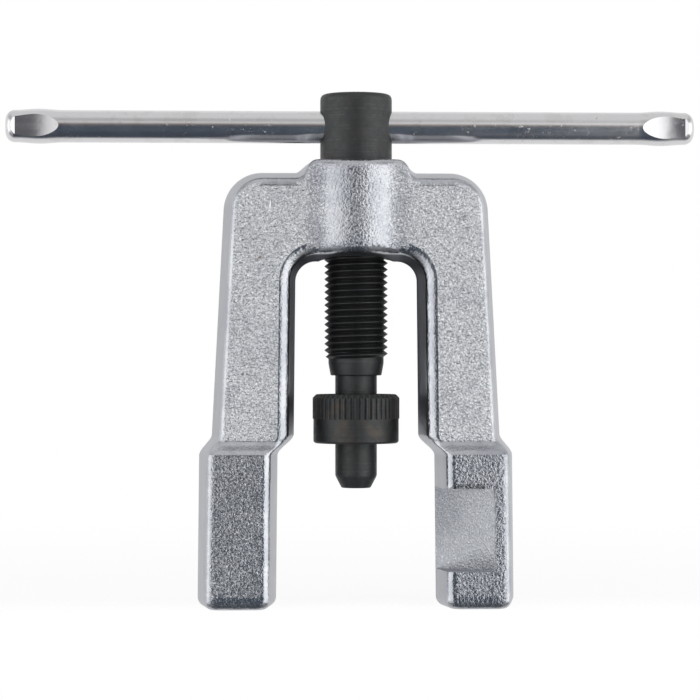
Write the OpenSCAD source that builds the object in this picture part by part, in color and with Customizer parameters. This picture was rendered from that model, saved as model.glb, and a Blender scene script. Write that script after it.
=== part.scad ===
// Ball joint separator: a screw press with a drop-forged U-shaped yoke.
// The origin lies on the screw's axis, level with the undersides of the feet.
// X runs across the yoke, Y from front to back, Z up along the screw.

/* [Yoke] */
// Height of the bridge above the undersides of the feet
yoke_h = 85.2; // [72:0.5:110]
// Height of the bridge from the top of the gap to its own top
bridge_h = 17.4; // [14:0.1:24]
// Width of the gap between the legs, at its top
gap_w = 23.9; // [21:0.1:34]
// Width of a leg at the top of the gap
leg_w = 14.1; // [12.5:0.1:20]
// Angle by which the inner side of a leg leans outwards
lean_in = 0.6; // [0:0.1:2]
// Angle by which the outer side of a leg leans outwards
lean_out = 3; // [1:0.1:5]
// Thickness of the bridge and legs from front to back
leg_t = 16.4; // [13:0.1:20]
// Radius of the yoke's outer shoulders
shoulder_r = 7.6; // [5:0.1:10]
// Radius of the gap's upper corners
gap_r = 4; // [2.5:0.1:5]

/* [Hub] */
// Height of the hub's flat seat above the bridge
seat_rise = 2.3; // [1:0.1:4]
// Width of the seat left standing around the screw's head
seat_margin = 0.2; // [0.1:0.05:2]
// Width of the ramp from the seat down to the bridge
ramp_w = 4.7; // [3:0.1:6]
// Metal round the bore, in front of and behind it
hub_wall = 4.7; // [3:0.1:6]
// Radius of the hollow round where the hub meets the bridge
hub_blend = 1.8; // [1:0.1:3]

/* [Feet] */
// Height of the feet, up to the middle of the step under the legs
foot_h = 31.8; // [26:0.1:36]
// Height over which a leg widens into its foot
step_h = 4.2; // [3:0.1:8]
// How far a foot's inner side stands back from the leg
step_in = 3.2; // [1:0.1:4]
// How far a foot's outer side stands out from the leg
step_out = 2.5; // [1:0.1:4]
// Thickness of a foot from front to back, at its top
foot_t = 21; // [18:0.1:26]
// How much thinner a foot is at its bottom
foot_taper = 1.6; // [0:0.1:3]
// Radius round the bottom of a foot
foot_r = 2; // [0.8:0.1:2.5]
// Height of the hooked recess above the underside of the foot
hook_z = 7.4; // [5:0.1:10]
// Height of the hooked recess itself
hook_h = 16.1; // [10:0.1:17]
// Metal left between the recess and the foot's outer side
hook_wall = 4.5; // [3.5:0.1:6]
// Depth of the recess at that wall, from where its floor slants back to mid-thickness
hook_depth = 2.8; // [1:0.1:6]

/* [Forging] */
// Draft of the outer sides, from the parting line at mid-thickness
draft_out = 11; // [5:0.5:12]
// Draft of the sides towards the gap
draft_in = 10; // [5:0.5:12]
// Draft of the feet's sides
draft_foot = 9; // [5:0.5:12]
// Radius of the outer edges and of the feet's edges
edge_r = 1.7; // [1:0.1:2.2]
// Radius of the edges round the gap
gap_edge_r = 2.4; // [1:0.1:3]

/* [Screw] */
// Outer diameter of the thread
thread_d = 12.4; // [10:0.1:16]
// Length of the thread below the head
thread_len = 39.6; // [34:0.1:42]
// Depth of the thread
thread_depth = 0.75; // [0.5:0.05:1]
// Height of the plain end between thread and shank
end_h = 2.5; // [1.5:0.1:4]
// How far the head stands out beyond the thread
head_lip = 0.85; // [0.4:0.05:2]
// Height of the head
head_h = 13.2; // [10:0.1:18]
// Radius of the head's upper edge
head_r = 0.9; // [0.3:0.1:1.5]
// Height of the cross hole above the underside of the head
hole_z = 6.7; // [5:0.1:9]
// Diameter of the shank
shank_d = 8.2; // [6.5:0.1:9.9]
// Length of the shank with its nose
shank_len = 22.1; // [20:0.1:30]
// Height of the tapered nose
nose_h = 2.4; // [1:0.1:4]
// Diameter of the nose's end face
nose_d = 5.7; // [3:0.1:6.4]

/* [Cross bar] */
// Length of the cross bar
bar_len = 135.4; // [100:1:180]
// Diameter of the cross bar
bar_d = 6.35; // [5:0.05:7.2]
// How far the bar stands off centre at rest
bar_shift = -0.9; // [-20:0.1:20]
// Distance from a bar end to the foot of its pressed flat's outer wall
flat_end = 1.9; // [1.8:0.1:4]
// Length of a pressed flat from that wall inwards
flat_len = 8.4; // [6:0.1:12]
// Depth of a pressed flat
flat_depth = 0.85; // [0.6:0.05:1.1]
// Distance from the wall to the deepest place of a flat
flat_low = 2.3; // [1:0.1:4]
// Slope of the wall
flat_wall = 28; // [20:1:60]
// How far the pressing swells the bar's radius
swell = 0.25; // [0.2:0.01:0.4]
// Radius of the bar's ends
bar_end_r = 1.8; // [0.5:0.1:2.4]

/* [Collar] */
// Diameter across the collar's knurling
collar_d = 17.1; // [15:0.1:20]
// Diameter of the collar's plain band
band_d = 16.8; // [14.5:0.1:19.8]
// Height of the collar
collar_h = 9.6; // [7:0.1:11]
// Height of the knurled part
knurl_h = 4.8; // [3:0.1:6]
// Number of ridges round the collar
ridges = 46; // [30:1:60]
// Depth of the knurling
knurl_depth = 0.4; // [0.2:0.05:0.6]
// Distance from the screw's plain end to the collar
collar_drop = 3.7; // [1:0.1:6]
// Chamfer of the collar's upper edge
collar_top_c = 0.7; // [0.3:0.1:1.2]
// Chamfer of the collar's lower edge
collar_low_c = 0.35; // [0.2:0.05:0.8]

/* [Ring] */
// Diameter of the retaining ring's wire
wire_d = 1; // [0.7:0.1:1.2]
// Gap in the ring, as an angle
ring_gap = 40; // [20:5:90]

/* [Fits] */
// Radial clearance of the screw in the yoke
screw_fit = 0.06; // [0.02:0.01:0.1]
// Radial clearance of the collar on the shank
collar_fit = 0.08; // [0.02:0.01:0.1]
// Radial clearance of the cross bar in the head
bar_fit = 0.1; // [0.05:0.01:0.15]
// Clearance round the retaining ring's wire
ring_fit = 0.05; // [0.02:0.01:0.1]

/* [Hidden] */
$fn = 96;

STEEL = [0.70, 0.71, 0.73];
BLACK = [0.13, 0.13, 0.14];
CHROME = [0.80, 0.81, 0.83];

gap_top = yoke_h - bridge_h;
seat_z = yoke_h + seat_rise;
head_d = thread_d + 2 * head_lip;
bore_r = thread_d / 2 + screw_fit;
hub_r = bore_r + hub_wall;

ramp_from = head_d / 2 + seat_margin;

thread_end = seat_z - thread_len;
shank_top = thread_end - end_h;
nose_z = shank_top - shank_len;
hole_r = bar_d / 2 + bar_fit;
bar_z = seat_z + hole_z;

collar_top = shank_top - collar_drop;
collar_low = collar_top - collar_h;
ring_z = collar_top - collar_h / 2;
ring_r = shank_d / 2;

EPS = 0.01;

// ---------- the forged yoke ----------

// Rises from 0 to 1 with level ends
function ease(t) = let (u = max(0, min(1, t))) u * u * (3 - 2 * u);

// How much of the hub's form is left at x from the axis: 1 on its seat. The ramp
// leaves the seat gently and meets the bridge more steeply
RAMP_CURVE = 1.55;
function on_hub(x) = 1 - ease(pow(max(0, (x - ramp_from) / ramp_w), RAMP_CURVE));

// Height of the forging's top outline at x from the axis, and its slope
function top_z(x) = yoke_h + seat_rise * on_hub(x);
function top_slope(x) = (top_z(x + EPS) - top_z(x - EPS)) / (2 * EPS);

// Half the thickness of the bridge at x from the axis: a round hub that runs
// through a hollow round into the flat bridge
blend_x = sqrt(max(0, pow(hub_r + hub_blend, 2) - pow(leg_t / 2 + hub_blend, 2)));
function bridge_half(x) =
    x > blend_x ? leg_t / 2
    : x > blend_x * hub_r / (hub_r + hub_blend)
        ? leg_t / 2 + hub_blend - sqrt(hub_blend * hub_blend - pow(blend_x - x, 2))
        : max(leg_t / 2, sqrt(hub_r * hub_r - x * x));
function hub_swell(x) = bridge_half(abs(x)) / (leg_t / 2);

function unit(v) = v / norm(v);
function on_arc(c, r, a) = c + r * [cos(a), sin(a)];

// A station is where a cross-section of the forging stands:
// [inner point, way into the metal, outer point, way into the metal,
//  half thickness, draft towards the gap, draft outside, edge radius towards the gap]
gap_c = [gap_w / 2 - gap_r, gap_top - gap_r];
shoulder_c = [gap_w / 2 + leg_w - shoulder_r, yoke_h - shoulder_r];
gap_foot = on_arc(gap_c, gap_r, lean_in);
shoulder_foot = on_arc(shoulder_c, shoulder_r, lean_out);

BRIDGE_STEPS = 10;
TOP_STEPS = 9;
SHOULDER_STEPS = 9;
SIDE_STEPS = 2;
STEP_STEPS = 10;
ROUND_STEPS = 4;
TURN_STEPS = TOP_STEPS + SHOULDER_STEPS + SIDE_STEPS;

function bridge_station(x) = [
    [x, gap_top], [0, 1], [x, top_z(x)], [0, -1],
    leg_t / 2, draft_in, draft_out * (1 - on_hub(x)), gap_edge_r
];

// Stations that turn with the gap's corner, i of TURN_STEPS
function turn_angle(i) = 90 - (90 - lean_in) * i / TURN_STEPS;
function turn_station(i, outer, way, out = draft_out) = [
    on_arc(gap_c, gap_r, turn_angle(i)), on_arc([0, 0], 1, turn_angle(i)), outer, way,
    leg_t / 2, draft_in, out, gap_edge_r
];

function top_station(i) =
    let (
        x = gap_c.x + (shoulder_c.x - gap_c.x) * i / TOP_STEPS,
        slope = top_slope(x) * min(1, 2 * i / TOP_STEPS)
    )
    turn_station(i, [x, top_z(x)], unit([slope, -1]), draft_out * (1 - on_hub(x)));

function shoulder_station(i) =
    let (a = 90 - (90 - lean_out) * i / SHOULDER_STEPS)
    turn_station(TOP_STEPS + i, on_arc(shoulder_c, shoulder_r, a), -on_arc([0, 0], 1, a));

function side_station(i) =
    let (
        z = shoulder_foot.y + (gap_foot.y - shoulder_foot.y) * i / SIDE_STEPS,
        x = shoulder_foot.x + (shoulder_foot.y - z) * tan(lean_out)
    )
    turn_station(TOP_STEPS + SHOULDER_STEPS + i, [x, z], [-1, 0]);

// Sides of the right leg at height z, and of its foot
step_top = foot_h + step_h / 2;
step_low = foot_h - step_h / 2;
function leg_in(z) = gap_foot.x + (gap_foot.y - z) * tan(lean_in);
function leg_out(z) = shoulder_foot.x + (shoulder_foot.y - z) * tan(lean_out);
foot_in = leg_in(step_top) + step_in;
foot_out = leg_out(step_top) + step_out;
foot_lean = 0.3;

// Rises from 0 to 1 with a crease at each end, and is steepest in the middle
CREASE = 0.4;
function creased(t) = let (u = max(0, min(1, t))) u - CREASE * sin(360 * u) / (2 * PI);

// A level station of the right leg: t is 0 on the leg and 1 on the foot. The front
// and back swell only between FACE_FROM and FACE_TO
FACE_FROM = 0.3;
FACE_TO = 0.9;
function level_station(z, t) =
    let (
        side = ease(t),
        front = creased((t - FACE_FROM) / (FACE_TO - FACE_FROM)),
        down = 1 - z / step_low,
        grow = foot_lean * down * side,
        foot_half = foot_t / 2 - foot_taper / 2 * max(0, down)
    )
    [
        [leg_in(max(z, step_low)) * (1 - side) + foot_in * side + grow, z], [1, 0],
        [leg_out(max(z, step_low)) * (1 - side) + foot_out * side + grow, z], [-1, 0],
        leg_t / 2 * (1 - front) + foot_half * front,
        draft_in * (1 - side) + draft_foot * side, draft_out * (1 - side) + draft_foot * side,
        gap_edge_r * (1 - side) + edge_r * side
    ];

// The foot's last stations, drawn in round its bottom edge
function drawn_in(s, inset) =
    [s[0] + [inset, 0], s[1], s[2] - [inset, 0], s[3], s[4] - inset, s[5], s[6], s[7]];
function bottom_station(i) =
    let (a = 90 * i / ROUND_STEPS)
    drawn_in(level_station(foot_r * (1 - sin(a)), 1), foot_r * (1 - cos(a)));

RIGHT = concat(
    [for (i = [0:BRIDGE_STEPS]) bridge_station(gap_c.x * sin(90 * i / BRIDGE_STEPS))],
    [for (i = [1:TOP_STEPS]) top_station(i)],
    [for (i = [1:SHOULDER_STEPS]) shoulder_station(i)],
    [for (i = [1:SIDE_STEPS]) side_station(i)],
    [for (i = [0:STEP_STEPS]) level_station(step_top - step_h * i / STEP_STEPS, i / STEP_STEPS)],
    [for (i = [0:ROUND_STEPS]) bottom_station(i)]
);

// The same station on the left, turned half round the screw's axis
function other_side(s) = [
    [-s[0].x, s[0].y], [-s[1].x, s[1].y], [-s[2].x, s[2].y], [-s[3].x, s[3].y],
    s[4], s[5], s[6], s[7]
];

STATIONS = concat(
    [for (i = [len(RIGHT) - 1:-1:1]) other_side(RIGHT[i])],
    RIGHT
);

// The edge of a cross-section from the parting line to the face, as
// [distance into the metal, height above mid-thickness]: a drafted side and a round
EDGE_STEPS = 4;
function edge(half, draft, r) = concat(
    [[0, 0]],
    [
        for (i = [0:EDGE_STEPS])
            let (a = draft + (90 - draft) * i / EDGE_STEPS)
            [
                (half - r) * tan(draft) + r / cos(draft) - r * cos(a),
                half - r + r * sin(a)
            ]
    ]
);

function placed(p, way, e, side) =
    let (x = p.x + way.x * e.x)
    [x, side * e.y * hub_swell(x), p.y + way.y * e.x];

// One closed cross-section: front from the gap outwards, then back again behind
function cross_section(s) =
    let (
        inner = edge(s[4], s[5], s[7]),
        outer = edge(s[4], s[6], edge_r),
        last = len(outer) - 1
    )
    concat(
        [for (e = inner) placed(s[0], s[1], e, -1)],
        [for (i = [last:-1:0]) placed(s[2], s[3], outer[i], -1)],
        [for (i = [1:last]) placed(s[2], s[3], outer[i], 1)],
        [for (i = [last:-1:1]) placed(s[0], s[1], inner[i], 1)]
    );

// A closed skin over cross-sections that all have the same number of points
module skin(sections) {
    n = len(sections[0]);
    m = len(sections);
    polyhedron(
        points = [for (s = sections) each s],
        faces = concat(
            [[for (i = [n - 1:-1:0]) i]],
            [
                for (k = [0:m - 2])
                    for (i = [0:n - 1])
                        let (a = k * n + i, b = k * n + (i + 1) % n)
                        each [[a, b + n, a + n], [a, b, b + n]]
            ],
            [[for (i = [0:n - 1]) (m - 1) * n + i]]
        ),
        convexity = 6
    );
}

// The hooked recess, milled from the front and open to the gap. Its floor slants from
// mid-thickness beside the gap to hook_depth at the outer wall
module recess() {
    wall_x = foot_out - hook_wall;
    translate([0, 0, hook_z])
        linear_extrude(hook_h)
            polygon([
                [foot_in - foot_t, -foot_t],
                [wall_x, -foot_t],
                [wall_x, hook_depth - foot_t / 2],
                [foot_in, 0],
                [foot_in - foot_t, 0]
            ]);
}

module yoke() {
    countersink = thread_depth + 0.3;
    color(STEEL)
    difference() {
        skin([for (s = STATIONS) cross_section(s)]);
        translate([0, 0, gap_top - foot_h])
            cylinder(h = yoke_h, r = bore_r);
        translate([0, 0, gap_top - EPS])
            cylinder(h = countersink, r1 = bore_r + countersink, r2 = bore_r);
        recess();
        rotate([0, 0, 180])
            recess();
    }
}

// ---------- the screw and what it carries ----------

// How far the plain end has narrowed at the shank, in thread depths
END_TAPER = 1.6;

// A quarter round about c as points of a profile, from level to upright
QUARTER_STEPS = 6;
function quarter(c, r) = [for (i = [0:QUARTER_STEPS]) on_arc(c, r, 90 * i / QUARTER_STEPS)];

module ring_groove(fit) {
    translate([0, 0, ring_z])
        rotate_extrude()
            translate([ring_r, 0])
                circle(r = wire_d / 2 + fit, $fn = 32);
}

module spindle() {
    head_top = seat_z + head_h;
    under = thread_end + thread_depth;
    color(BLACK)
    difference() {
        rotate_extrude()
            polygon(concat(
                [
                    [0, nose_z],
                    [nose_d / 2, nose_z],
                    [shank_d / 2, nose_z + nose_h],
                    [shank_d / 2, shank_top],
                    [thread_d / 2 - END_TAPER * thread_depth, shank_top],
                    [thread_d / 2 - thread_depth, thread_end],
                    [thread_d / 2, under],
                    [thread_d / 2, seat_z],
                    [head_d / 2, seat_z]
                ],
                quarter([head_d / 2 - head_r, head_top - head_r], head_r),
                [[0, head_top]]
            ));
        translate([-head_d, 0, bar_z])
            rotate([0, 90, 0])
                cylinder(h = 2 * head_d, r = hole_r);
        ring_groove(ring_fit);
    }
}

// Outline of half the bar from its middle to its end, as [radius, distance along]
function swollen(t) = bar_d / 2 + swell * pow(sin(180 * t), 2);

// The tool that presses a flat: a round bar standing upright, with a slanted side
module presser(wall_x) {
    rise = flat_depth - swell;
    run = flat_len - flat_low;
    tool_r = (run * run + rise * rise) / (2 * rise);
    low_y = bar_d / 2 - rise;
    foot_y = low_y + tool_r - sqrt(tool_r * tool_r - flat_low * flat_low);
    intersection() {
        translate([wall_x - flat_low, low_y + tool_r, -bar_d])
            cylinder(h = 2 * bar_d, r = tool_r, $fn = 4 * $fn);
        translate([0, 0, -bar_d])
            linear_extrude(2 * bar_d)
                polygon([
                    [wall_x - 2 * flat_len, 0],
                    [wall_x, 0],
                    [wall_x, foot_y],
                    [wall_x + bar_d * cos(flat_wall), foot_y + bar_d * sin(flat_wall)],
                    [wall_x - 2 * flat_len, 2 * bar_d]
                ]);
    }
}

module tommy_bar() {
    half = bar_len / 2;
    wall_x = half - flat_end;
    swell_from = wall_x - flat_len - 1;
    swell_len = half - bar_end_r - swell_from;
    side = concat(
        [for (i = [0:10]) [swollen(i / 10), swell_from + swell_len * i / 10]],
        quarter([bar_d / 2 - bar_end_r, half - bar_end_r], bar_end_r)
    );
    color(CHROME)
    translate([bar_shift, 0, bar_z])
        difference() {
            rotate([0, 90, 0])
                rotate_extrude()
                    polygon(concat(
                        [[0, half]],
                        [[0, -half]],
                        [for (i = [len(side) - 1:-1:0]) [side[i].x, -side[i].y]],
                        side
                    ));
            for (end = [0, 1], face = [0, 1])
                mirror([end, 0, 0])
                    mirror([0, face, 0])
                        presser(wall_x);
        }
}

// One knurled ring: straight ridges, whose crest and root end at these shares of the
// pitch from the middle of a ridge
CREST_END = 0.14;
ROOT_FROM = 0.42;
module knurl(h) {
    crest = collar_d / 2;
    root = crest - knurl_depth;
    pitch = 360 / ridges;
    linear_extrude(h)
        polygon([
            for (i = [0:ridges - 1])
                each [
                    on_arc([0, 0], root, pitch * (i - ROOT_FROM)),
                    on_arc([0, 0], crest, pitch * (i - CREST_END)),
                    on_arc([0, 0], crest, pitch * (i + CREST_END)),
                    on_arc([0, 0], root, pitch * (i + ROOT_FROM))
                ]
        ]);
}

module knurled_collar() {
    bore = shank_d / 2 + collar_fit;
    band_top = collar_top - knurl_h;
    color(BLACK)
    difference() {
        union() {
            translate([0, 0, collar_low])
                cylinder(h = collar_low_c, r1 = band_d / 2 - collar_low_c, r2 = band_d / 2);
            translate([0, 0, collar_low + collar_low_c])
                cylinder(h = collar_h - knurl_h - collar_low_c, r = band_d / 2);
            intersection() {
                translate([0, 0, band_top])
                    knurl(knurl_h);
                translate([0, 0, collar_low])
                    rotate_extrude()
                        polygon([
                            [0, 0],
                            [collar_d, 0],
                            [collar_d, collar_h - collar_top_c - collar_d / 2],
                            [collar_d / 2 - collar_top_c, collar_h],
                            [0, collar_h]
                        ]);
            }
        }
        translate([0, 0, collar_low - 1])
            cylinder(h = collar_h + 2, r = bore);
        ring_groove(ring_fit);
    }
}

// The wire ring sits half in the shank and half in the collar
module retaining_ring() {
    color(CHROME)
    translate([0, 0, ring_z])
        rotate([0, 0, ring_gap / 2])
            rotate_extrude(angle = 360 - ring_gap)
                translate([ring_r, 0])
                    circle(d = wire_d, $fn = 32);
}

yoke();
spindle();
tommy_bar();
knurled_collar();
retaining_ring();
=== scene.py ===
import math

import bpy
import numpy as np
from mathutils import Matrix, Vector


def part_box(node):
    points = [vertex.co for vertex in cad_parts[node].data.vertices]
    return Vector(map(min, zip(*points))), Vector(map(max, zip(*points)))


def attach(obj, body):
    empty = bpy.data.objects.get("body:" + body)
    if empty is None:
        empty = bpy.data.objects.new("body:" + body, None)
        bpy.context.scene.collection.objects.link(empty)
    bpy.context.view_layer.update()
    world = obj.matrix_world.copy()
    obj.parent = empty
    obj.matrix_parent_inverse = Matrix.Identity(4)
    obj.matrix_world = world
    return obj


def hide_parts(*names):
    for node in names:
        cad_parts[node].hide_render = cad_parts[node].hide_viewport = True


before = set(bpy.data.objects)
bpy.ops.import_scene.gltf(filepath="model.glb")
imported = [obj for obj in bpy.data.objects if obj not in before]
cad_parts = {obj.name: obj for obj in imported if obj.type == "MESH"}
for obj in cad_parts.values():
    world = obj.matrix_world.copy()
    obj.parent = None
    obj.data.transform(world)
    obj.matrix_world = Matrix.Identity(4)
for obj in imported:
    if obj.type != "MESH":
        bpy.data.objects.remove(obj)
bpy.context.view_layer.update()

mm = 0.001


# Meshes from numpy grids

# Quads between neighbouring rows of a grid; the columns run all the way round,
# and the rows too when they close on themselves
def gridFaces(rows, cols, closedRows=False):
    r = np.arange(rows if closedRows else rows - 1)[:, None]
    c = np.arange(cols)[None, :]
    up = (r + 1) % rows
    beside = (c + 1) % cols
    corners = [r * cols + c, r * cols + beside, up * cols + beside, up * cols + c]
    return np.stack(np.broadcast_arrays(*corners), -1).reshape(-1, 4)


# A closed skin over a grid of points: quads round it and a flat cap at each end
def skin(points, closedRows=False):
    rows, cols = points.shape[:2]
    faces = gridFaces(rows, cols, closedRows).tolist()
    if not closedRows:
        faces.append(list(range(cols))[::-1])
        faces.append(list(range((rows - 1) * cols, rows * cols)))
    return points.reshape(-1, 3), faces


# Turns a profile of (radius, height) round the Z axis; wave adds to the radius
def turned(profile, steps, wave=0.0):
    angle = 2 * np.pi * np.arange(steps) / steps
    radius = profile[:, :1] + wave
    height = np.broadcast_to(profile[:, 1:], (len(profile), steps))
    return np.stack([radius * np.cos(angle), radius * np.sin(angle), height], -1)


# Rounds the corners of a profile: each corner p becomes a quarter curve
# between the points r before and after it, weights (1-t)^2, 2t(1-t), t^2
def softened(corners, radii, steps=5):
    p = np.array(corners, float)
    out = [p[:1]]
    t = np.linspace(0, 1, steps)[:, None]
    for before, here, after, r in zip(p[:-2], p[1:-1], p[2:], radii):
        a = here + (before - here) / np.linalg.norm(before - here) * r
        b = here + (after - here) / np.linalg.norm(after - here) * r
        out.append((1 - t) ** 2 * a + 2 * t * (1 - t) * here + t ** 2 * b if r else here[None])
    out.append(p[-1:])
    return np.concatenate(out)


def addMesh(name, verts, faces, sharp=32):
    mesh = bpy.data.meshes.new(name)
    mesh.from_pydata((np.asarray(verts) * mm).tolist(), [], faces)
    mesh.validate()
    mesh.shade_smooth()
    mesh.set_sharp_from_angle(angle=math.radians(sharp))
    piece = bpy.data.objects.new(name, mesh)
    bpy.context.scene.collection.objects.link(piece)
    return piece


# Cuts the tools out of a piece and keeps the result as its plain mesh
def cutAway(piece, tools, sharp=32):
    for tool in tools:
        cut = piece.modifiers.new("cut", "BOOLEAN")
        cut.operation = "DIFFERENCE"
        cut.solver = "MANIFOLD"
        cut.object = tool
    depsgraph = bpy.context.evaluated_depsgraph_get()
    mesh = bpy.data.meshes.new_from_object(piece.evaluated_get(depsgraph))
    piece.modifiers.clear()
    piece.data = mesh
    mesh.name = piece.name
    mesh.shade_smooth()
    mesh.set_sharp_from_angle(angle=math.radians(sharp))
    for tool in tools:
        bpy.data.objects.remove(tool)


def standsFor(piece, body, node, material):
    piece.data.materials.clear()
    piece.data.materials.append(material)
    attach(piece, body)
    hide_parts(node)
    print("piece", piece.name, len(piece.data.polygons), "faces")


# Shader arithmetic: a wire is one output socket, and sums on it add Math nodes

class Wire:
    def __init__(self, tree, socket=None):
        self.tree = tree
        self.socket = socket

    # Adds any node: its settings come first, then the values or wires of its inputs
    def node(self, kind, settings=None, inputs=None, out=0):
        made = self.tree.nodes.new("ShaderNode" + kind)
        for key, value in (settings or {}).items():
            if key == "stops":
                for spare in range(len(value) - 2):
                    made.color_ramp.elements.new(0.5)
                for stop, (place, colour) in zip(made.color_ramp.elements, value):
                    stop.position = place
                    stop.color = colour
            else:
                setattr(made, key, value)
        for key, value in (inputs or {}).items():
            if isinstance(value, Wire):
                self.tree.links.new(value.socket, made.inputs[key])
            else:
                made.inputs[key].default_value = value
        return Wire(self.tree, made.outputs[out])

    def sum(self, operation, *values):
        return self.node("Math", {"operation": operation}, dict(enumerate(values)))

    def __add__(self, other):
        return self.sum("ADD", self, other)

    __radd__ = __add__

    def __sub__(self, other):
        return self.sum("SUBTRACT", self, other)

    def __rsub__(self, other):
        return self.sum("SUBTRACT", other, self)

    def __mul__(self, other):
        return self.sum("MULTIPLY", self, other)

    __rmul__ = __mul__

    def __truediv__(self, other):
        return self.sum("DIVIDE", self, other)

    def __abs__(self):
        return self.sum("ABSOLUTE", self)

    # 0 below low and 1 above high, with a smooth change between; low may be above high
    def step(self, low, high):
        limits = {"Value": self, "From Min": low, "From Max": high}
        return self.node("MapRange", {"interpolation_type": "SMOOTHSTEP"}, limits)

    def bigger(self, other):
        return self.sum("MAXIMUM", self, other)

    def sign(self):
        return self.sum("SIGN", self)

    def root(self):
        return self.sum("SQRT", self)

    # One colour or the other, by this wire as the mask
    def mix(self, a, b):
        return self.node("Mix", {"data_type": "RGBA"}, {0: self, 6: a, 7: b}, out=2)


def rgb(r, g, b):
    return (r, g, b, 1.0)


# The coordinates that patterns use: the piece's own, in metres
def place(tree):
    spot = Wire(tree).node("TexCoord", out="Object")
    split = {axis: spot.node("SeparateXYZ", None, {0: spot}, out=axis) for axis in "XYZ"}
    way = spot.node("TexCoord", out="Normal")
    turn = {axis: way.node("SeparateXYZ", None, {0: way}, out=axis) for axis in "XYZ"}
    return spot, split, turn


def noise(spot, size, detail=2.0, roughness=0.5, distortion=0.0):
    inputs = {"Vector": spot, "Scale": 1 / size, "Detail": detail, "Roughness": roughness,
              "Distortion": distortion}
    return spot.node("TexNoise", None, inputs, out="Fac")


def newMaterial(name):
    material = bpy.data.materials.new(name)
    material.use_nodes = True
    tree = material.node_tree
    return material, tree, tree.nodes["Principled BSDF"]


def feed(tree, shader, wires):
    for name, value in wires.items():
        if isinstance(value, Wire):
            tree.links.new(value.socket, shader.inputs[name])
        else:
            shader.inputs[name].default_value = value


# Camera and studio

studio = {
    "aim": (-0.00119, 0.0, 0.0504),
    "distance": 0.530,
    "azimuth": -3.0,  # degrees to the left of straight ahead
    "fieldWidth": 0.1378,  # seen across at the aim point
    "sensor": 36.0,
    # (azimuth, brightness) round the tent: level with the tool, above it and below it
    "ring": [(-180, 1.0), (-112, 1.0), (-97, 1.1), (-85, 1.7), (-70, 1.7), (-55, 1.35), (-42, 1.4),
             (-28, 1.2), (-14, 0.8), (14, 1.4), (28, 1.75), (46, 1.85), (62, 1.8), (80, 1.9),
             (92, 1.3), (106, 1.0), (180, 1.0)],
    "high": [(-180, 1.0), (-70, 0.5), (-28, 1.0), (0, 0.50), (28, 1.0), (70, 0.5), (180, 1.0)],
    "low": [(-180, 1.0), (-90, 0.3), (-28, 0.7), (0, 0.8), (28, 0.65), (90, 0.2), (180, 1.0)],
    "top": 0.85,
    "bottom": 0.30,
    # the elevations over which one of these passes into the next
    "lowToRing": (-40, -22),
    "ringToHigh": (22, 40),
    "highToTop": (50, 68),
    "lowToBottom": (-50, -68),
    "brightest": 2.0,
    # the shaded strip in front of the tool, below the camera
    "shade": (0.060, 0.075, 0.10),
    "shadeLeft": (-22.0, -8.0),
    "shadeRight": (19.0, 5.0),
    "shadeLow": (-108.0, -98.0),
    "shadeHigh": (-18.0, -24.0),
}


def addCamera(s):
    data = bpy.data.cameras.new("camera")
    data.sensor_width = s["sensor"]
    data.lens = s["sensor"] * s["distance"] / s["fieldWidth"]
    cam = bpy.data.objects.new("camera", data)
    bpy.context.scene.collection.objects.link(cam)
    a = math.radians(s["azimuth"])
    back = Vector((math.sin(a), -math.cos(a), 0.0))
    cam.location = Vector(s["aim"]) + back * s["distance"]
    cam.rotation_euler = (math.pi / 2, 0.0, a)
    bpy.context.scene.camera = cam


# A light tent, which shows as plain white to the camera. Azimuth is measured from
# the front towards +X and elevation from level; across and up are the angles out of
# and round the YZ plane. All are in degrees
def lightTent(s):
    world = bpy.data.worlds.new("studio")
    bpy.context.scene.world = world
    world.use_nodes = True
    tree = world.node_tree
    background = tree.nodes["Background"]
    ray = Wire(tree).node("TexCoord", out="Generated")
    x, y, z = (ray.node("SeparateXYZ", None, {0: ray}, out=axis) for axis in "XYZ")
    degree = math.pi / 180
    azimuth = x.sum("ARCTAN2", x, 0 - y) / degree
    elevation = z.sum("ARCSINE", z) / degree
    across = x.sum("ARCSINE", x) / degree
    up = x.sum("ARCTAN2", z, 0 - y) / degree

    # a ramp holds no more than 1, so levels are shares of the brightest until the end
    def grey(level):
        share = level / s["brightest"]
        return rgb(share, share, share)

    def band(name):
        stops = [(0.5 + turn / 360, grey(level)) for turn, level in s[name]]
        return azimuth.node("ValToRGB", {"stops": stops}, {"Fac": azimuth / 360 + 0.5})

    tent = elevation.step(*s["lowToRing"]).mix(band("low"), band("ring"))
    tent = elevation.step(*s["ringToHigh"]).mix(tent, band("high"))
    tent = elevation.step(*s["highToTop"]).mix(tent, grey(s["top"]))
    tent = elevation.step(*s["lowToBottom"]).mix(tent, grey(s["bottom"]))
    tent = tent.node("VectorMath", {"operation": "SCALE"}, {0: tent, "Scale": s["brightest"]})
    shaded = across.step(*s["shadeLeft"]) * across.step(*s["shadeRight"])
    shaded = shaded * up.step(*s["shadeLow"]) * up.step(*s["shadeHigh"])
    seen = ray.node("LightPath", out="Is Camera Ray")
    colour = seen.mix(shaded.mix(tent, rgb(*s["shade"])), rgb(1, 1, 1))
    tree.links.new(colour.socket, background.inputs["Color"])


# A flat sheet beside the tool that the camera doesn't see; its corners are in metres
def hiddenSheet(name, x, y, z, material):
    corners = np.stack(np.broadcast_arrays(x, y, z), -1)
    sheet = addMesh(name, corners / mm, [[0, 1, 2, 3]])
    sheet.data.materials.append(material)
    sheet.visible_camera = False


# The dark curtain that the camera stands before, with soft edges
curtain = {
    "distance": -0.56,
    "left": -0.195,
    "right": 0.185,
    "low": -0.40,
    "high": 0.33,
    "soft": 0.035,
    "softTop": 0.16,
    "colour": (0.070, 0.092, 0.122),
    "topColour": (0.24, 0.19, 0.165),
    "topFrom": 0.03,
}


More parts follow.
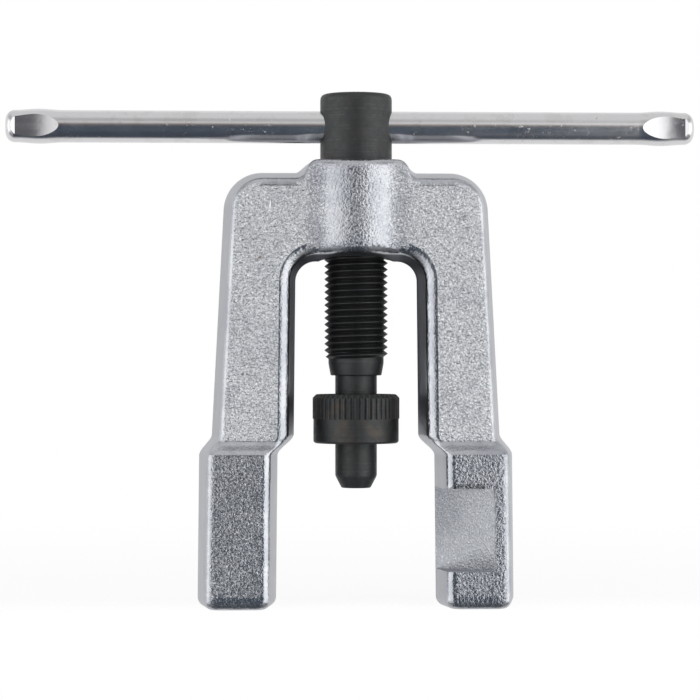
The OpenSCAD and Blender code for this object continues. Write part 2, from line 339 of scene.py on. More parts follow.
def addCurtain(s):
    left, right, soft = s["left"], s["right"], s["soft"]
    top = s["high"] + s["softTop"]
    material, tree, shader = newMaterial("darkCurtain")
    spot, at, way = place(tree)
    solid = at["X"].step(left - soft, left + soft) * at["X"].step(right + soft, right - soft)
    solid = solid * at["Z"].step(top, s["high"] - s["softTop"])
    colour = at["Z"].step(s["topFrom"], s["high"]).mix(rgb(*s["colour"]), rgb(*s["topColour"]))
    feed(tree, shader, {"Base Color": rgb(0, 0, 0), "Specular IOR Level": 0.0, "Alpha": solid,
                        "Emission Color": colour, "Emission Strength": 1.0})
    x = np.array([left - soft, right + soft, right + soft, left - soft])
    z = np.array([s["low"], s["low"], top, top])
    hiddenSheet("curtain", x, s["distance"], z, material)


# A small dark card behind the gap, which keeps the gap's own sides dark
card = {
    "distance": 0.032,
    "halfWidth": 0.015,
    "low": 0.028,
    "high": 0.080,
    "soft": 0.005,
    "colour": (0.02, 0.024, 0.032),
}


def addCard(s):
    reach, soft = s["halfWidth"] + s["soft"], s["soft"]
    material, tree, shader = newMaterial("darkCard")
    spot, at, way = place(tree)
    solid = abs(at["X"]).step(reach, reach - 2 * soft)
    solid = solid * at["Z"].step(s["low"], s["low"] + 2 * soft)
    feed(tree, shader, {"Base Color": rgb(*s["colour"]), "Roughness": 1.0,
                        "Specular IOR Level": 0.0, "Alpha": solid})
    x = np.array([-reach, reach, reach, -reach])
    z = np.array([s["low"], s["low"], s["high"], s["high"]])
    hiddenSheet("gapCard", x, s["distance"], z, material)


# A lamp panel near the tool, on its right
nearLamp = {
    "azimuth": 54.0,
    "distance": 0.18,
    "width": 0.09,
    "low": 0.01,
    "high": 0.17,
    "strength": 1.75,
}


def addNearLamp(s):
    material, tree, shader = newMaterial("lampPanel")
    feed(tree, shader, {"Base Color": rgb(0, 0, 0), "Specular IOR Level": 0.0,
                        "Emission Color": rgb(1, 1, 1), "Emission Strength": s["strength"]})
    a = math.radians(s["azimuth"])
    along = np.array([-1, 1, 1, -1]) * s["width"] / 2
    x = math.sin(a) * s["distance"] + math.cos(a) * along
    y = -math.cos(a) * s["distance"] + math.sin(a) * along
    z = np.array([s["low"], s["low"], s["high"], s["high"]])
    hiddenSheet("nearLamp", x, y, z, material)


# A pale sheet that the tool stands on, near its front edge
floorForm = {
    "front": -0.0125,
    "solidFrom": 0.020,
    "back": 0.60,
    "side": 0.60,
    "colour": (0.86, 0.86, 0.86),
    "white": 0.88,  # how much of it shows as plain white near the tool
    "whiteFrom": 0.06,  # and how far off that starts to grow and is whole
    "whiteTo": 0.30,
}


def addFloor(s):
    x = np.array([-s["side"], s["side"], s["side"], -s["side"]])
    y = np.array([s["front"], s["front"], s["back"], s["back"]])
    verts = np.stack([x, y, np.zeros(4)], -1) / mm
    floor = addMesh("floor", verts, [[0, 1, 2, 3]])
    material, tree, shader = newMaterial("palePaper")
    feed(tree, shader, {"Base Color": rgb(*s["colour"]), "Roughness": 0.9, "Specular IOR Level": 0.1})
    path = Wire(tree).node("LightPath", out="Is Camera Ray")
    glossy = path.node("LightPath", out="Is Glossy Ray")
    clear = path.node("LightPath", out="Is Transmission Ray")
    bright = path.node("Emission", None, {"Color": rgb(1, 1, 1)})
    spot, at, way = place(tree)
    reach = (at["X"] * at["X"] + at["Y"] * at["Y"]).root()
    white = reach.step(s["whiteFrom"], s["whiteTo"]) * (1 - s["white"]) + s["white"]
    factor = path.bigger(glossy).bigger(clear) * white
    paper = path.node("MixShader", None, {0: factor, 1: Wire(tree, shader.outputs[0]), 2: bright})
    nothing = path.node("BsdfTransparent", None, {"Color": rgb(1, 1, 1)})
    there = at["Y"].step(s["front"], s["solidFrom"])
    mixed = path.node("MixShader", None, {0: there, 1: nothing, 2: paper})
    tree.links.new(mixed.socket, tree.nodes["Material Output"].inputs["Surface"])
    floor.data.materials.append(material)


addCamera(studio)
lightTent(studio)
addFloor(floorForm)
addCard(card)
addNearLamp(nearLamp)
addCurtain(curtain)
bpy.context.scene.view_settings.view_transform = "Standard"
print("studio set")


# Zinc plated forging

zinc = {
    "colour": (0.50, 0.514, 0.540),
    "dull": (0.40, 0.415, 0.45),
    "blasted": (0.57, 0.583, 0.605),
    "worn": (0.70, 0.705, 0.73),
    # dark zinc for the pits, also used for the painted shade on the sides and feet and to darken the
    # recesses
    "pitsAndShade": (0.32, 0.33, 0.36),
    "patch": 0.009,
    "speck": 0.00040,
    "grain": 0.00050,
    "grainDepth": 0.00060,
    "hubGrain": 0.34,  # how deep the grain is there, of that on the faces
    "edgeGrain": 0.16,
    "dimple": 0.00050,
    "dimpleDepth": 0.00026,
    "millGrain": 0.00040,
    "millDepth": 0.00014,
    "lump": 0.0025,
    "lumpDepth": 0.00008,
    # where a finish starts and where it is whole, in metres
    "feet": (0.0304, 0.0297),
    "legs": (0.0324, 0.0332),
    "seat": (0.0873, 0.0874),
    "hubAcross": (0.0105, 0.0090),
    "hubUp": (0.060, 0.062),
    "hubToBridge": (0.0050, 0.0084),
    "recessIn": (0.0150, 0.0152),
    "recessOut": (0.0267, 0.0265),
    "recessLow": (0.0072, 0.0075),
    "recessHigh": (0.0237, 0.0234),
    "recessDeep": (0.0006, 0.0002),
    "crownFrom": 0.0095,
    "crown": 0.035,  # slope of the slight crown on the faces, outside the hub
    "footCrown": 0.3,  # how much of it there is on the feet
    "footToLeg": (0.012, 0.034),
    "nick": (-0.0171, 0.0784),  # X and Z of its middle
    "nickLength": (0.0012, 0.0008),
    "nickWidth": (0.00016, 0.00006),
    "nickColour": (0.88, 0.88, 0.90),
    "rustDot": (-0.0191, 0.0683),
    "rustSize": (0.00042, 0.00022),
    "rust": (0.24, 0.13, 0.08),
}


# Each finish has a mask, from the place and from the way the surface faces: blasted faces, hub, rolled
# edges, feet, recesses, seat, and smooth sides. The sides and the faces of the feet also get painted
# shade in their colour, and the recesses are darker
def zincForging(s):
    material, tree, shader = newMaterial("zincPlatedForging")
    spot, at, way = place(tree)
    out, flat = abs(at["X"]), abs(way["Y"])
    # how far forward on the right half, and how far back on the left
    forward = at["Y"] * at["X"].sign()
    outward = way["X"] * at["X"].sign()
    face = flat.step(0.9985, 0.9999)
    face = face.bigger(flat.step(0.80, 0.97) * outward.step(0.0, 0.04))
    edge = flat.step(0.35, 0.60) * (1 - face)
    hub = out.step(*s["hubAcross"]) * flat.step(0.55, 0.70) * abs(way["Z"]).step(0.60, 0.20)
    hub = hub * at["Z"].step(*s["hubUp"])
    recess = out.step(*s["recessIn"]) * out.step(*s["recessOut"]) * forward.step(*s["recessDeep"])
    recess = recess * at["Z"].step(*s["recessLow"]) * at["Z"].step(*s["recessHigh"])
    foot = face * at["Z"].step(*s["feet"])
    blasted = face * (1 - hub) * at["Z"].step(*s["legs"])
    hubGrain = out.step(*s["hubToBridge"]) * (1 - s["hubGrain"]) + s["hubGrain"]
    leg = (blasted + hub * hubGrain).bigger(edge * s["edgeGrain"])
    seat = at["Z"].step(*s["seat"])
    side = flat.step(0.50, 0.25) * (1 - recess)

    fine = noise(spot, s["grain"], 2.0, 0.55, 0.4) - 0.5
    coarse = noise(spot, s["dimple"], 2.0, 0.5, 0.3) - 0.5
    mill = noise(spot, s["millGrain"], 2.0, 0.5) - 0.5
    height = fine * s["grainDepth"] * leg + coarse * s["dimpleDepth"] * foot
    height = height * (1 - recess) + mill * s["millDepth"] * recess.bigger(seat)
    height = height + noise(spot, s["lump"], 2.0, 0.5) * s["lumpDepth"]
    crown = at["Z"].step(*s["footToLeg"]) * (1 - s["footCrown"]) + s["footCrown"]
    height = height - (out - s["crownFrom"]).bigger(0.0) * s["crown"] * crown
    bump = spot.node("Bump", None, {"Strength": 1.0, "Distance": 1.0, "Height": height})

    patches = noise(spot, s["patch"], 3.0, 0.6).step(0.40, 0.62)
    colour = patches.mix(rgb(*s["colour"]), rgb(*s["dull"]))
    # painted shade: the sides are darkened towards the dark zinc, and the recesses are darker too
    colour = (side * 0.85 + recess * 0.45).mix(colour, rgb(*s["pitsAndShade"]))
    colour = (blasted * (1 - patches * 0.3)).mix(colour, rgb(*s["blasted"]))
    # painted shade: the faces of the feet are darkened towards the dark zinc
    colour = (foot * (1 - recess) * 0.7).mix(colour, rgb(*s["pitsAndShade"]))
    grainy = leg.bigger(foot).bigger(recess)
    speck = noise(spot, s["speck"], 2.0, 0.7)
    colour = (speck.step(0.52, 0.72) * grainy * 0.7).mix(colour, rgb(*s["worn"]))
    colour = (speck.step(0.47, 0.32) * grainy * 0.6).mix(colour, rgb(*s["pitsAndShade"]))

    # a small nick and a rust dot on the left of the front
    front = way["Y"].step(0.0, -0.5)
    nickX, nickZ = s["nick"]
    nick = abs(at["X"] - nickX).step(*s["nickWidth"]) * abs(at["Z"] - nickZ).step(*s["nickLength"])
    dotX, dotZ = at["X"] - s["rustDot"][0], at["Z"] - s["rustDot"][1]
    dot = (dotX * dotX + dotZ * dotZ).root().step(*s["rustSize"]) * front
    colour = (nick * front * 0.8).mix(colour, rgb(*s["nickColour"]))
    colour = (dot * 0.6).mix(colour, rgb(*s["rust"]))

    rough = 0.19 + blasted * 0.05 + hub * 0.02 + foot * 0.03 + recess * 0.22 + side * 0.16 + dot * 0.3
    rough = rough + (noise(spot, 0.004, 3.0, 0.6) - 0.5) * 0.08
    feed(tree, shader, {"Base Color": colour, "Metallic": 1.0, "Roughness": rough, "Normal": bump})
    return material


# Black oxide on the turned steel

oxide = {
    "colour": (0.060, 0.063, 0.064),
    "worn": (0.100, 0.102, 0.103),
    "brown": (0.098, 0.080, 0.066),
    "turning": 0.0004,  # spacing of the marks that turning left
    "grain": 0.0004,
    "depth": 0.000015,
}


def blackOxide(s, name, brownness):
    material, tree, shader = newMaterial(name)
    spot, at, way = place(tree)
    tint = noise(spot, 0.003, 3.0, 0.6).step(0.45, 0.70) * brownness
    colour = tint.mix(rgb(*s["colour"]), rgb(*s["brown"]))
    alongAxis = spot.node("CombineXYZ", None, {2: at["Z"]})
    turning = noise(alongAxis, s["turning"], 3.0, 0.6)
    rubbed = turning.step(0.45, 0.65) * noise(spot, 0.0012, 3.0, 0.6).step(0.40, 0.62)
    colour = (rubbed * 0.5).mix(colour, rgb(*s["worn"]))
    grain = noise(spot, s["grain"], 3.0, 0.6) + turning
    bump = spot.node("Bump", None, {"Strength": 1.0, "Distance": s["depth"], "Height": grain})
    rough = 0.52 + (noise(spot, 0.0016, 3.0, 0.6) - 0.5) * 0.30
    feed(tree, shader, {"Base Color": colour, "Metallic": 1.0, "Roughness": rough, "Normal": bump})
    return material


# Bright plating on the cross bar

plating = {
    "colour": (0.66, 0.655, 0.67),
    "scuff": (0.90, 0.90, 0.90),
    "stain": (0.50, 0.48, 0.46),
    "speck": (0.20, 0.19, 0.18),
}


def brightPlating(s):
    material, tree, shader = newMaterial("brightPlating")
    spot, at, way = place(tree)
    lengthwise = spot.node("Mapping", None, {"Vector": spot, "Scale": (0.18, 1.0, 1.0)})
    scuffedPlaces = noise(spot, 0.007, 2.0, 0.5).step(0.46, 0.60)
    scuffs = noise(spot, 0.0009, 4.0, 0.7).step(0.58, 0.74) * scuffedPlaces
    stains = noise(spot, 0.0035, 4.0, 0.65).step(0.48, 0.66) * 0.3
    specks = noise(spot, 0.0007, 2.0, 0.5).step(0.74, 0.80)
    colour = (scuffs * 0.5).mix(rgb(*s["colour"]), rgb(*s["scuff"]))
    colour = stains.mix(colour, rgb(*s["stain"]))
    colour = specks.mix(colour, rgb(*s["speck"]))
    rough = 0.12 + scuffs * 0.45 + noise(lengthwise, 0.0012, 3.0, 0.6) * 0.14
    wave = noise(spot, 0.0030, 2.0, 0.5) + scuffs * 0.10
    bump = spot.node("Bump", None, {"Strength": 1.0, "Distance": 0.00002, "Height": wave})
    feed(tree, shader, {"Base Color": colour, "Metallic": 1.0, "Roughness": rough, "Normal": bump})
    return material


# Spring wire of the retaining ring

def springWire():
    material, tree, shader = newMaterial("springWire")
    spot, at, way = place(tree)
    colour = noise(spot, 0.0008, 2.0, 0.5).mix(rgb(0.42, 0.41, 0.40), rgb(0.56, 0.56, 0.57))
    bump = spot.node("Bump", None, {"Strength": 1.0, "Distance": 0.00001, "Height": noise(spot, 0.0002)})
    feed(tree, shader, {"Base Color": colour, "Metallic": 1.0, "Roughness": 0.35, "Normal": bump})
    return material


zincSkin = zincForging(zinc)
screwSkin = blackOxide(oxide, "blackOxideScrew", 0.15)
collarSkin = blackOxide(oxide, "blackOxideCollar", 0.55)
barSkin = brightPlating(plating)
ringSkin = springWire()
print("materials made")


# The forged yoke, in millimetres

yokeForm = {
    "height": 85.2,
    "bridge": 17.4,
    "gapWidth": 23.9,
    "legWidth": 14.1,
    "leanIn": 0.6,
    "leanOut": 3.0,
    "thickness": 16.4,
    "shoulder": 7.6,
    "gapCorner": 4.0,
    "rampFrom": 7.25,
    "rampWidth": 4.7,
    "rampCurve": 1.55,
    "hubBlend": 3.2,
    "footHeight": 31.8,
    "stepHeight": 4.2,
    "stepIn": 3.2,
    "stepOut": 2.5,
    "faceFrom": 0.3,  # where on the step the front starts to swell, and stops
    "faceTo": 0.9,
    "crease": 0.4,
    "footThickness": 21.0,
    "footTaper": 1.6,
    "footLean": 0.3,
    "footRound": 2.0,
    "hookHeight": 7.4,
    "recess": 16.1,
    "hookWall": 4.5,
    "hookDepth": 2.8,
    "ledgeRound": 0.9,
    "ledgeEnd": 24.5,
    "draftOut": 11.0,
    "draftIn": 10.0,
    "draftFoot": 9.0,
    "edge": 1.7,
    "gapEdge": 2.4,
    "bore": 6.26,
    "boreSink": 1.05,  # the countersink at its lower end
}


def ease(t):
    u = np.clip(t, 0, 1)
    return u * u * (3 - 2 * u)


def arcPoints(centre, r, degrees):
    a = np.radians(degrees)
    return np.stack([centre[0] + r * np.cos(a), centre[1] + r * np.sin(a)], -1)


def unit(v):
    return v / np.linalg.norm(v, axis=-1, keepdims=True)


def tan(degrees):
    return math.tan(math.radians(degrees))


# Where the cross-sections of the right half stand: an inner and an outer point in the
# XZ plane, the way from each into the metal, half the thickness, the draft towards
# the gap and outside, and the edge radius towards the gap
def yokeStations(s, seat):
    gapTop = s["height"] - s["bridge"]
    gapC = np.array([s["gapWidth"] / 2 - s["gapCorner"], gapTop - s["gapCorner"]])
    shoulderX = s["gapWidth"] / 2 + s["legWidth"] - s["shoulder"]
    shoulderC = np.array([shoulderX, s["height"] - s["shoulder"]])
    gapFoot = arcPoints(gapC, s["gapCorner"], np.array(s["leanIn"]))
    shoulderFoot = arcPoints(shoulderC, s["shoulder"], np.array(s["leanOut"]))
    half = s["thickness"] / 2

    def onHub(x):
        return 1 - ease(np.maximum(0, (x - s["rampFrom"]) / s["rampWidth"]) ** s["rampCurve"])

    def topZ(x):
        return s["height"] + (seat - s["height"]) * onHub(x)

    def topWay(x, t):
        slope = (topZ(x + 0.01) - topZ(x - 0.01)) / 0.02 * np.minimum(1, 2 * t)
        return unit(np.stack([slope, -np.ones_like(x)], -1))

    parts = []

    def add(inner, inWay, outer, outWay, halves, draft, outside=s["draftOut"], gapEdge=s["gapEdge"]):
        n = len(inner)
        spread = [np.broadcast_to(np.asarray(v, float), (n, 2)) for v in (inner, inWay, outer, outWay)]
        numbers = [np.broadcast_to(np.asarray(v, float), (n,))[:, None]
                   for v in (halves, draft, outside, gapEdge)]
        parts.append(np.concatenate(spread + numbers, 1))

    x = gapC[0] * np.sin(np.radians(90 * np.arange(41) / 40))
    add(np.stack([x, np.full_like(x, gapTop)], -1), (0, 1), np.stack([x, topZ(x)], -1), (0, -1),
        half, s["draftIn"], s["draftOut"] * (1 - onHub(x)))

    def turning(share):  # how far round the gap's corner, 0 to 1
        angle = 90 - (90 - s["leanIn"]) * share
        return arcPoints(gapC, s["gapCorner"], angle), arcPoints((0, 0), 1, angle)

    t = np.arange(1, 49) / 48
    x = gapC[0] + (shoulderC[0] - gapC[0]) * t
    add(*turning(0.45 * t), np.stack([x, topZ(x)], -1), topWay(x, t), half, s["draftIn"],
        s["draftOut"] * (1 - onHub(x)))
    t = np.arange(1, 31) / 30
    a = 90 - (90 - s["leanOut"]) * t
    add(*turning(0.45 + 0.45 * t), arcPoints(shoulderC, s["shoulder"], a), -arcPoints((0, 0), 1, a),
        half, s["draftIn"])
    t = np.arange(1, 13) / 12
    z = shoulderFoot[1] + (gapFoot[1] - shoulderFoot[1]) * t
    x = shoulderFoot[0] + (shoulderFoot[1] - z) * tan(s["leanOut"])
    add(*turning(0.9 + 0.1 * t), np.stack([x, z], -1), (-1, 0), half, s["draftIn"])

    stepTop = s["footHeight"] + s["stepHeight"] / 2
    stepLow = s["footHeight"] - s["stepHeight"] / 2

    def legIn(z):
        return gapFoot[0] + (gapFoot[1] - z) * tan(s["leanIn"])

    def legOut(z):
        return shoulderFoot[0] + (shoulderFoot[1] - z) * tan(s["leanOut"])

    footIn = legIn(stepTop) + s["stepIn"]
    footOut = legOut(stepTop) + s["stepOut"]

    def level(z, t, inset=0.0):
        side = ease(t)
        u = np.clip((t - s["faceFrom"]) / (s["faceTo"] - s["faceFrom"]), 0, 1)
        front = u - s["crease"] * np.sin(2 * np.pi * u) / (2 * np.pi)
        down = 1 - z / stepLow
        grow = s["footLean"] * down * side
        footHalf = s["footThickness"] / 2 - s["footTaper"] / 2 * np.maximum(0, down)
        zIn = np.maximum(z, stepLow)
        inner = legIn(zIn) * (1 - side) + footIn * side + grow + inset
        outer = legOut(zIn) * (1 - side) + footOut * side + grow - inset
        halves = half * (1 - front) + footHalf * front - inset
        inSide = s["draftIn"] * (1 - side) + s["draftFoot"] * side
        outSide = s["draftOut"] * (1 - side) + s["draftFoot"] * side
        gapEdge = s["gapEdge"] * (1 - side) + s["edge"] * side
        add(np.stack([inner, z], -1), (1, 0), np.stack([outer, z], -1), (-1, 0), halves, inSide,
            outSide, gapEdge)

    t = np.arange(1, 31) / 31
    level(gapFoot[1] + (stepTop - gapFoot[1]) * t, 0 * t)
    t = np.arange(0, 41) / 40
    level(stepTop - s["stepHeight"] * t, t)
    t = np.arange(1, 31) / 31
    level(stepLow + (s["footRound"] - stepLow) * t, 0 * t + 1)
    a = np.radians(90 * np.arange(0, 11) / 10)
    level(s["footRound"] * (1 - np.sin(a)), 0 * a + 1, s["footRound"] * (1 - np.cos(a)))
    return np.concatenate(parts), (footIn, footOut)


# The side of a section from the parting line to the face, as distance into the metal
# and height above mid-thickness: a straight drafted side, then a round of the edge
# radius r, where the angle a runs from the draft to 90 degrees:
# in = (half - r) tan(draft) + r / cos(draft) - r cos(a), up = half - r + r sin(a)
def sectionEdge(half, draft, r, steps=9, straight=3):
    d = np.radians(draft)[:, None]
    half, r = half[:, None], np.broadcast_to(r, half.shape)[:, None]
    a = d + (np.pi / 2 - d) * np.arange(steps + 1) / steps
    inward = (half - r) * np.tan(d) + r / np.cos(d) - r * np.cos(a)
    arc = np.stack([inward, half - r + r * np.sin(a)], -1)
    line = arc[:, :1] * (np.arange(straight) / straight)[None, :, None]
    return np.concatenate([line, arc], 1)


# Puts an edge's points where a station's point and way say, in front (-1) or behind (1)
def placedEdge(point, way, edge, side):
    x = point[:, None, 0] + way[:, None, 0] * edge[..., 0]
    z = point[:, None, 1] + way[:, None, 1] * edge[..., 0]
    return np.stack([x, side * edge[..., 1], z], -1)


# How much thicker the metal is at x than the flat bridge: a round hub, which runs
# through a hollow round into the bridge
def hubSwell(s, x, hub):
    half, blend = s["thickness"] / 2, s["hubBlend"]
    end = math.sqrt((hub + blend) ** 2 - (half + blend) ** 2)
    x = np.abs(x)
    hollow = half + blend - np.sqrt(np.maximum(blend ** 2 - (end - x) ** 2, 0))
    boss = np.sqrt(np.maximum(hub ** 2 - x ** 2, 0))
    return np.where(x > end, half, np.where(x > end * hub / (hub + blend), hollow, boss)) / half


def yokeSections(s, st, across=24):
    inner, inWay, outer, outWay = st[:, 0:2], st[:, 2:4], st[:, 4:6], st[:, 6:8]
    gapSide = sectionEdge(st[:, 8], st[:, 9], st[:, 11])
    outSide = sectionEdge(st[:, 8], st[:, 10], s["edge"])
    t = (np.arange(1, across) / across)[None, :, None]
    halves = []
    for side in (-1, 1):
        a = placedEdge(inner, inWay, gapSide, side)
        b = placedEdge(outer, outWay, outSide, side)
        halves.append((a, a[:, -1:] * (1 - t) + b[:, -1:] * t, b))
    (a, face, b), (a2, face2, b2) = halves
    front = np.concatenate([a, face, b[:, ::-1]], 1)
    back = np.concatenate([b2[:, 1:], face2[:, ::-1], a2[:, :0:-1]], 1)
    return np.concatenate([front, back], 1)


# The tools that mill a recess from the front: a prism with a slanted floor, and one
# that rounds the edge of the upper ledge. Turned half round for the left foot
def recessTools(s, footIn, footOut, sign):
    wall, deep = footOut - s["hookWall"], s["footThickness"]
    z0, z1 = s["hookHeight"], s["hookHeight"] + s["recess"]
    floor = np.array([[footIn - deep, -deep], [wall, -deep], [wall, s["hookDepth"] - deep / 2],
                      [footIn, 0], [footIn - deep, 0]])
    rows = [np.concatenate([floor * sign, np.full((len(floor), 1), z)], 1) for z in (z0, z1)]
    r = s["ledgeRound"]
    face = deep / 2 - s["footTaper"] / 2 * (1 - z1 / (s["footHeight"] - s["stepHeight"] / 2))
    a = np.radians(np.arange(0, 91, 10))
    arc = np.stack([r - face - r * np.cos(a), z1 + r - r * np.sin(a)], -1)
    edge = np.concatenate([[[-deep, z1 + r]], arc, [[r - face, z1 - 1], [-deep, z1 - 1]]])
    ends = [np.concatenate([np.full((len(edge), 1), x * sign), edge * [sign, 1]], 1)
            for x in (footIn - 2, s["ledgeEnd"])]
    return [addMesh("recessTool", *skin(np.stack(rows))), addMesh("ledgeTool", *skin(np.stack(ends)))]


def forgedYoke(s):
    low, high = (np.array(c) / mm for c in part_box("yoke"))
    hub, seat = high[1], high[2]
    stations, (footIn, footOut) = yokeStations(s, seat)
    right = yokeSections(s, stations)
    right[..., 1] = right[..., 1] * hubSwell(s, right[..., 0], hub)
    # the left half is the right half turned half round, so its loops run the other way
    left = np.roll(right[:, ::-1], 1, axis=1) * np.array([-1, -1, 1])
    verts, faces = skin(np.concatenate([left[:0:-1], right]))
    yoke = addMesh("yokeForging", verts, faces, 22)

    gapTop = s["height"] - s["bridge"]
    bore, sink = s["bore"], s["boreSink"]
    wide = bore + sink + 0.01
    drill = np.array([[wide, gapTop - 5], [wide, gapTop - 0.01], [bore, gapTop + sink],
                      [bore, seat + 10]])
    tools = [addMesh("boreTool", *skin(turned(drill, 128)))]
    for sign in (1, -1):
        tools += recessTools(s, footIn, footOut, sign)
    cutAway(yoke, tools, 22)
    standsFor(yoke, "yoke_body", "yoke", zincSkin)


forgedYoke(yokeForm)


# The screw: head, thread, plain end, shank and nose, in millimetres

screwForm = {
    "threadRadius": 6.2,
    "pitch": 1.27,
    "threadDepth": 0.75,
    "threadLength": 39.6,
    "plainEnd": 2.5,
    "plainRadius": 5.0,
    "headRadius": 7.05,
    "headRound": 1.25,
    "holeHeight": 6.7,
    "holeRadius": 3.275,
    "shankRadius": 4.1,
    "noseHeight": 2.4,
    "noseRadius": 2.85,
    "neckLength": 1.4,  # bare core below the head, then a short cylinder
    "neckEnd": 0.8,
    "threadFrom": 0.55,  # the ridge starts this far above the plain end
    "threadTo": 0.9,  # and stops this far below the head
}


# A V-shaped ridge carried along a helix: height = pitch * turns, radius from the
# ridge's own profile, which sinks into the core at both ends of the thread
def threadRidge(s, low, high, around=60):
    turns = (high - low) / s["pitch"]
    n = int(turns * around)
    u = np.arange(n + 1) / n
    angle = 2 * np.pi * turns * u
    p = s["pitch"]
    crest = s["threadRadius"]
    core = crest - s["threadDepth"]
    valley = core - 0.03
    ridge = np.array([[core - 0.5, -0.40 * p], [valley, -0.50 * p], [crest, -0.05 * p],
                      [crest, 0.05 * p], [valley, 0.50 * p], [core - 0.5, 0.40 * p]])
    fade = np.clip(np.minimum(u, 1 - u) * turns * 1.4, 0.02, 1)[:, None]
    radius = valley + (ridge[:, 0] - valley) * fade
    radius = np.where(ridge[:, 0] < core - 0.1, ridge[:, 0], radius)
    height = low + (high - low) * u[:, None] + ridge[:, 1] * fade
    x, y = radius * np.cos(angle)[:, None], radius * np.sin(angle)[:, None]
    return np.stack([x, y, height], -1)


def turnedScrew(s):
    low, high = (np.array(c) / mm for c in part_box("spindle"))
    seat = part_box("yoke")[1].z / mm
    threadEnd = seat - s["threadLength"]
    shankTop = threadEnd - s["plainEnd"]
    crest, shank, head = s["threadRadius"], s["shankRadius"], s["headRadius"]
    core = crest - s["threadDepth"]
    axis = 0.02  # the skin starts just off the axis
    corners = np.array([  # radius, height, rounding
        (axis, low[2], 0),
        (s["noseRadius"], low[2], 0.25),
        (shank, low[2] + s["noseHeight"], 0.4),
        (shank, shankTop, 0.1),
        (s["plainRadius"], shankTop, 0.25),
        (core, threadEnd, 0.2),
        (core - 0.02, threadEnd + 0.1, 0),
        (core - 0.02, seat - s["neckLength"], 0),
        (crest, seat - s["neckEnd"], 0),
        (crest, seat, 0),
        (head, seat, 0.12),
        (head, high[2], s["headRound"]),
        (axis, high[2], 0),
    ])
    profile = softened(corners[:, :2], corners[1:-1, 2], 7)
    screw = addMesh("pressScrew", *skin(turned(profile, 144)), sharp=40)
    z = seat + s["holeHeight"]
    a = np.linspace(0, 2 * np.pi, 96, endpoint=False)
    r = s["holeRadius"]
    rows = [np.stack([np.full_like(a, x), r * np.cos(a), z + r * np.sin(a)], -1) for x in (-9.0, 9.0)]
    drill = addMesh("drill", *skin(np.stack(rows)))
    cutAway(screw, [drill], 40)
    verts, faces = skin(threadRidge(s, threadEnd + s["threadFrom"], seat - s["threadTo"]))
    thread = addMesh("screwThread", verts, faces, sharp=20)
    standsFor(screw, "spindle_body", "spindle", screwSkin)
    thread.data.materials.append(screwSkin)
    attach(thread, "spindle_body")


turnedScrew(screwForm)


# The cross bar with its pressed ends, in millimetres

barForm = {
    "radius": 3.175,
    "flatEnd": 1.9,
    "flatLength": 8.4,
    "flatDepth": 0.85,
    "flatLow": 2.3,
    "flatWall": 28.0,
    "swell": 0.25,
    "endRound": 1.8,
}


# The tool that presses a flat, seen from above: a slanted wall, then part of a circle
# through the flat's deepest place, where y = low + r - sqrt(r^2 - d^2)
def presser(s, wall, end, face, middle, z):
    rise = s["flatDepth"] - s["swell"]
    run = s["flatLength"] - s["flatLow"]
    r = (run ** 2 + rise ** 2) / (2 * rise)
    low = s["radius"] - rise
    d = np.linspace(-run - 4, s["flatLow"], 60)
    curve = np.stack([wall - s["flatLow"] + d, low + r - np.sqrt(r ** 2 - d ** 2)], -1)
    foot = curve[-1]
    a = math.radians(s["flatWall"])
    slant = foot + 8 * np.array([[math.cos(a), math.sin(a)]])
    outline = np.concatenate([curve, slant, [[slant[0, 0], 12], [curve[0, 0], 12]]])
    outline = outline * [end, face] + [middle, 0]
    rows = [np.concatenate([outline, np.full((len(outline), 1), z + h)], 1) for h in (-8, 8)]
    if end * face < 0:
        rows = rows[::-1]
    return addMesh("presser", *skin(np.stack(rows)))


# A round bar whose radius swells by swell * sin^2 over each pressed flat and
# closes with a round at each end
def crossBar(s):
    low, high = (np.array(c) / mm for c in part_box("tommy_bar"))
    middle, half = (low[0] + high[0]) / 2, (high[0] - low[0]) / 2
    z = (low[2] + high[2]) / 2
    wall = half - s["flatEnd"]
    start = wall - s["flatLength"] - 1
    t = np.arange(61) / 60
    swollen = np.stack([start + (half - s["endRound"] - start) * t,
                        s["radius"] + s["swell"] * np.sin(np.pi * t) ** 2], -1)
    a = np.radians(90 * np.arange(1, 13) / 12)
    ending = np.stack([half - s["endRound"] + s["endRound"] * np.sin(a),
                       s["radius"] - s["endRound"] + s["endRound"] * np.cos(a)], -1)
    side = np.concatenate([swollen, ending])
    plain = np.stack([np.linspace(1 - start, start - 1, 30), np.full(30, s["radius"])], -1)
    side = np.concatenate([side[::-1] * [-1, 1], plain, side])
    a = 2 * np.pi * np.arange(96) / 96
    x = np.broadcast_to(side[:, :1] + middle, (len(side), 96))
    points = np.stack([x, side[:, 1:] * np.cos(a), z + side[:, 1:] * np.sin(a)], -1)
    bar = addMesh("crossBar", *skin(points), sharp=9)
    tools = [presser(s, wall, end, face, middle, z) for end in (-1, 1) for face in (-1, 1)]
    cutAway(bar, tools, 9)
    standsFor(bar, "bar_body", "tommy_bar", barSkin)


crossBar(barForm)


# The knurled collar, in millimetres

collarForm = {
    "ridges": 46,
    "stepsPerRidge": 12,
    "knurlDepth": 0.40,
    "knurlHeight": 4.8,
    "bandRadius": 8.4,
    "boreRadius": 4.18,
    "boreChamfer": 0.3,
    "topChamfer": 0.7,
    "lowChamfer": 0.35,
    "grooveRadius": 0.55,
    "grooveDepth": 0.47,
}


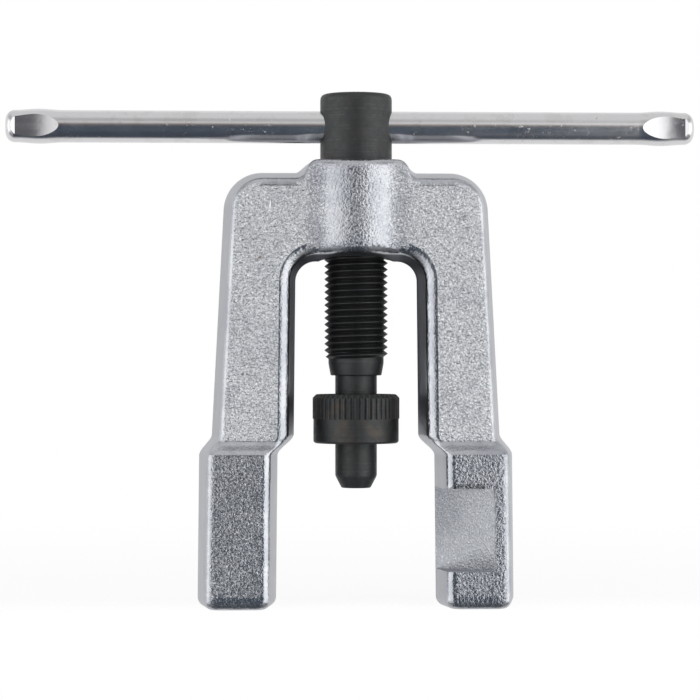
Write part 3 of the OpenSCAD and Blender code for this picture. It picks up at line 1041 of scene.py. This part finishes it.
# A turned ring; over the knurl its radius dips by depth * (1 - ridge), where ridge
# runs between 0 and 1 as a flattened cosine of ridges * angle
def knurledCollar(s):
    low, high = (np.array(c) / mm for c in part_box("knurled_collar"))
    crest = high[0]
    z0, z1 = low[2], high[2]
    band, bore, chamfer = s["bandRadius"], s["boreRadius"], s["boreChamfer"]
    bandTop = z1 - s["knurlHeight"]
    outside = softened([(bore + chamfer, z0), (band - s["lowChamfer"], z0),
                        (band, z0 + s["lowChamfer"]), (band, bandTop)], [0.1, 0.1], 5)
    knurl = softened([(crest, bandTop), (crest, z1 - s["topChamfer"]), (crest - s["topChamfer"], z1),
                      (bore + chamfer, z1)], [0.2, 0.2], 5)
    rise = np.linspace(0, 1, 8)[1:-1, None]
    knurl = np.concatenate([knurl[:1], knurl[:1] + (knurl[1:2] - knurl[:1]) * rise, knurl[1:]])
    a = np.radians(np.arange(0, 181, 15))
    groove = np.stack([bore + s["grooveDepth"] * np.sin(a),
                       (z0 + z1) / 2 + s["grooveRadius"] * np.cos(a)], -1)
    inside = np.concatenate([[[bore, z1 - chamfer]], groove, [[bore, z0 + chamfer]]])
    profile = np.concatenate([outside, knurl, inside])
    steps = s["ridges"] * s["stepsPerRidge"]
    angle = 2 * np.pi * np.arange(steps) / steps
    ridge = np.clip(0.5 + 0.85 * np.cos(s["ridges"] * angle), 0, 1)
    knurled = np.arange(len(outside), len(outside) + len(knurl) - 1)
    above = profile[knurled, 0] - (crest - s["topChamfer"])
    dip = np.zeros(len(profile))
    dip[knurled] = np.clip(above / (s["topChamfer"] - s["knurlDepth"]), 0, 1)
    wave = -s["knurlDepth"] * dip[:, None] * (1 - ridge)[None, :]
    collar = addMesh("knurledCollar", *skin(turned(profile, steps, wave), closedRows=True), sharp=28)
    standsFor(collar, "collar_body", "knurled_collar", collarSkin)


knurledCollar(collarForm)


# The ring keeps its CAD shape and gets the wire's material

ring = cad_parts["retaining_ring"]
ring.data.materials.clear()
ring.data.materials.append(ringSkin)
print("ring dressed")
